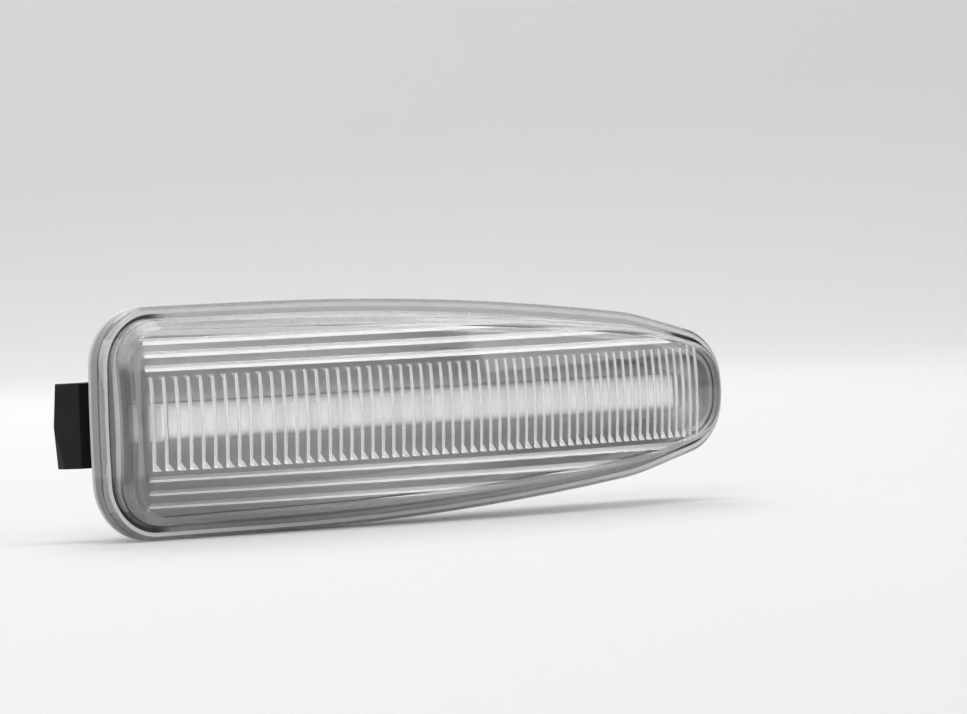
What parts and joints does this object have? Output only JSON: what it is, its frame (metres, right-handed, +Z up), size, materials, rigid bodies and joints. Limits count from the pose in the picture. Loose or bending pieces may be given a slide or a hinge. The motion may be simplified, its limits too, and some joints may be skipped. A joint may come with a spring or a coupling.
{
  "type": "side repeater lamp",
  "caption": "Long tapered vehicle side repeater lamp: clear lens with inner flutes and ribs over a light bar, black clip-in housing and a pin socket at the back.",
  "frame": {"origin": "middle of the panel seat: the plane of the lens rim's back face, at mid height, near mid length", "axes": "+X along the lamp from the blunt clip end to the tip, +Y out of the back into the panel, so the lit front faces -Y, +Z up"},
  "size_m": [0.1136, 0.0424, 0.0328],
  "materials": {
    "clear_lens": "clear, polished",
    "black_plastic": "satin moulded",
    "holder_plastic": "satin moulded",
    "seal_rubber": "matte",
    "tinned_metal": "tinned",
    "silver_dish": "metallised",
    "opal_plastic": "opal, smooth",
    "board": "white solder mask",
    "led_body": "smooth",
    "chip_black": "matte",
    "chip_tan": "matte"
  },
  "bodies": {
    "root": {"lens": "clear_lens", "housing": "black_plastic", "connector_holder": "holder_plastic", "holder_seal": "seal_rubber", "terminal_pin_upper": "tinned_metal", "terminal_pin_lower": "tinned_metal", "reflector": "silver_dish", "diffuser_bar": "opal_plastic", "circuit_board": "board", "led_01": "led_body", "led_02": "led_body", "led_03": "led_body", "led_04": "led_body", "led_05": "led_body", "led_06": "led_body", "led_07": "led_body", "led_08": "led_body", "led_09": "led_body", "led_10": "led_body", "led_11": "led_body", "led_12": "led_body", "led_13": "led_body", "led_14": "led_body", "led_15": "led_body", "led_16": "led_body", "led_17": "led_body", "led_18": "led_body", "driver_chip": "chip_black", "diode": "chip_black", "resistor_a": "chip_black", "resistor_b": "chip_black", "capacitor": "chip_tan"}
  },
  "joints": []
}
